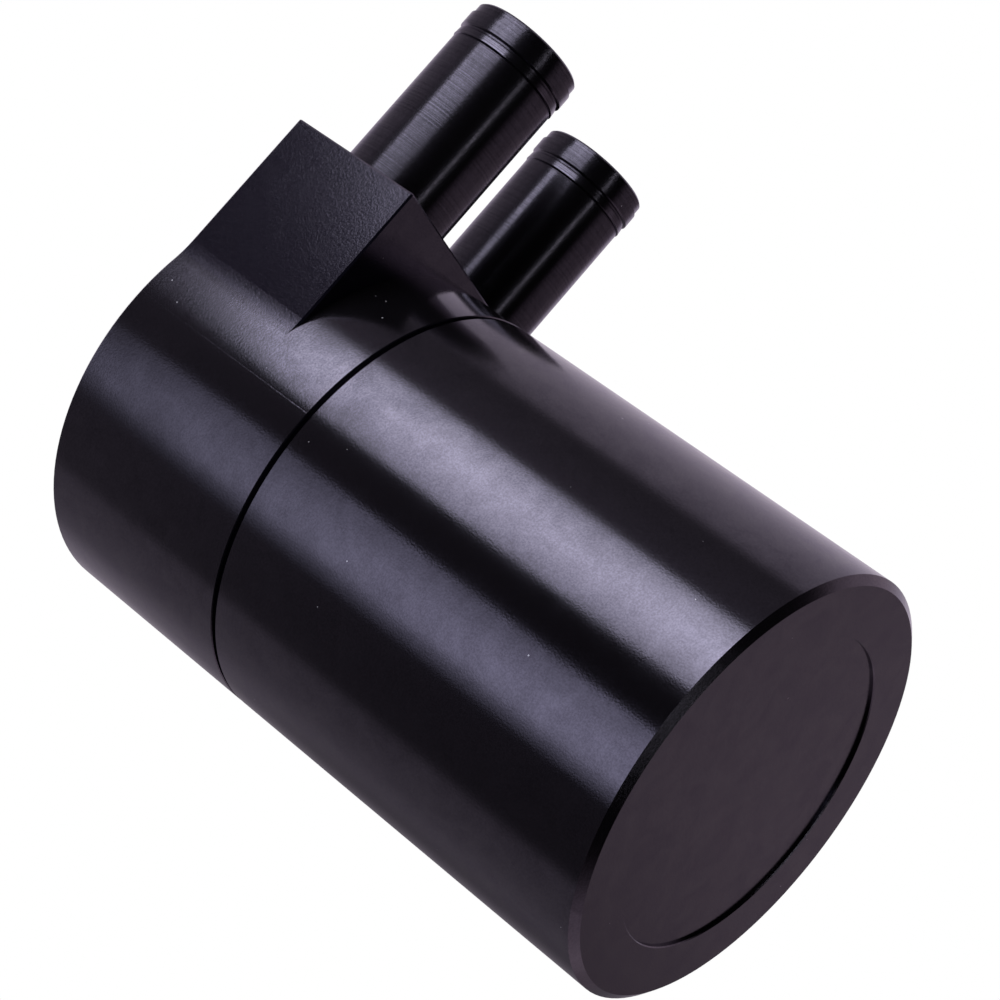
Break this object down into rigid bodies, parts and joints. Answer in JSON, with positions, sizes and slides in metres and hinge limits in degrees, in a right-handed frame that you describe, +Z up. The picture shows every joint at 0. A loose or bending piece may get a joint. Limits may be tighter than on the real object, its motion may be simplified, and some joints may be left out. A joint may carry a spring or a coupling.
{
  "type": "oil catch can",
  "caption": "Round oil catch can: a screw-on cup under a milled head with parallel plain hose ports, and a perforated baffle stack with wire mesh inside.",
  "frame": {"origin": "centre of the flat foot ring under the cup, on the can's axis", "axes": "+Z up along the can's axis, +X the way the hose ports point, Y across the ports with the inlet on -Y"},
  "size_m": [0.1031, 0.0694, 0.1098],
  "materials": {
    "anodised_head": "black anodised, bead-blasted and milled, satin",
    "anodised_cup": "black anodised, fine turned, satin",
    "anodised_port": "black anodised, turned, semi-gloss",
    "tube_aluminium": "plain drawn tube",
    "plate_aluminium": "rolled sheet, drilled",
    "spacer_aluminium": "turned",
    "mesh_steel": "knitted stainless wire",
    "screw_steel": "stainless steel",
    "seal_rubber": "matt black nitrile rubber"
  },
  "bodies": {
    "head": {"head": "anodised_head", "inlet_port": "anodised_port", "outlet_port": "anodised_port", "drop_tube": "tube_aluminium", "upper_baffle": "plate_aluminium", "mesh_pack": "mesh_steel", "lower_baffle": "plate_aluminium", "spacer_1": "spacer_aluminium", "spacer_2": "spacer_aluminium", "spacer_3": "spacer_aluminium", "mesh_sleeve_1": "spacer_aluminium", "mesh_sleeve_2": "spacer_aluminium", "mesh_sleeve_3": "spacer_aluminium", "baffle_screw_1": "screw_steel", "baffle_screw_2": "screw_steel", "baffle_screw_3": "screw_steel", "screw_washer_1": "screw_steel", "screw_washer_2": "screw_steel", "screw_washer_3": "screw_steel"},
    "seal": {"cup_seal": "seal_rubber"},
    "cup": {"cup": "anodised_cup"}
  },
  "joints": [
    {"name": "cup_drop", "type": "slide", "parent": "head", "child": "seal", "axis": [0, 0, -1], "range_m": [0, 0.012]},
    {"name": "cup_unscrew", "type": "hinge", "parent": "seal", "child": "cup", "pos_m": [0, 0, 0.0723], "axis": [0, 0, -1], "range_deg": [0, 2880]}
  ],
  "couplings": [
    {"joint": "cup_drop", "follows": "cup_unscrew", "m_per_rad": 0.00023873}
  ]
}
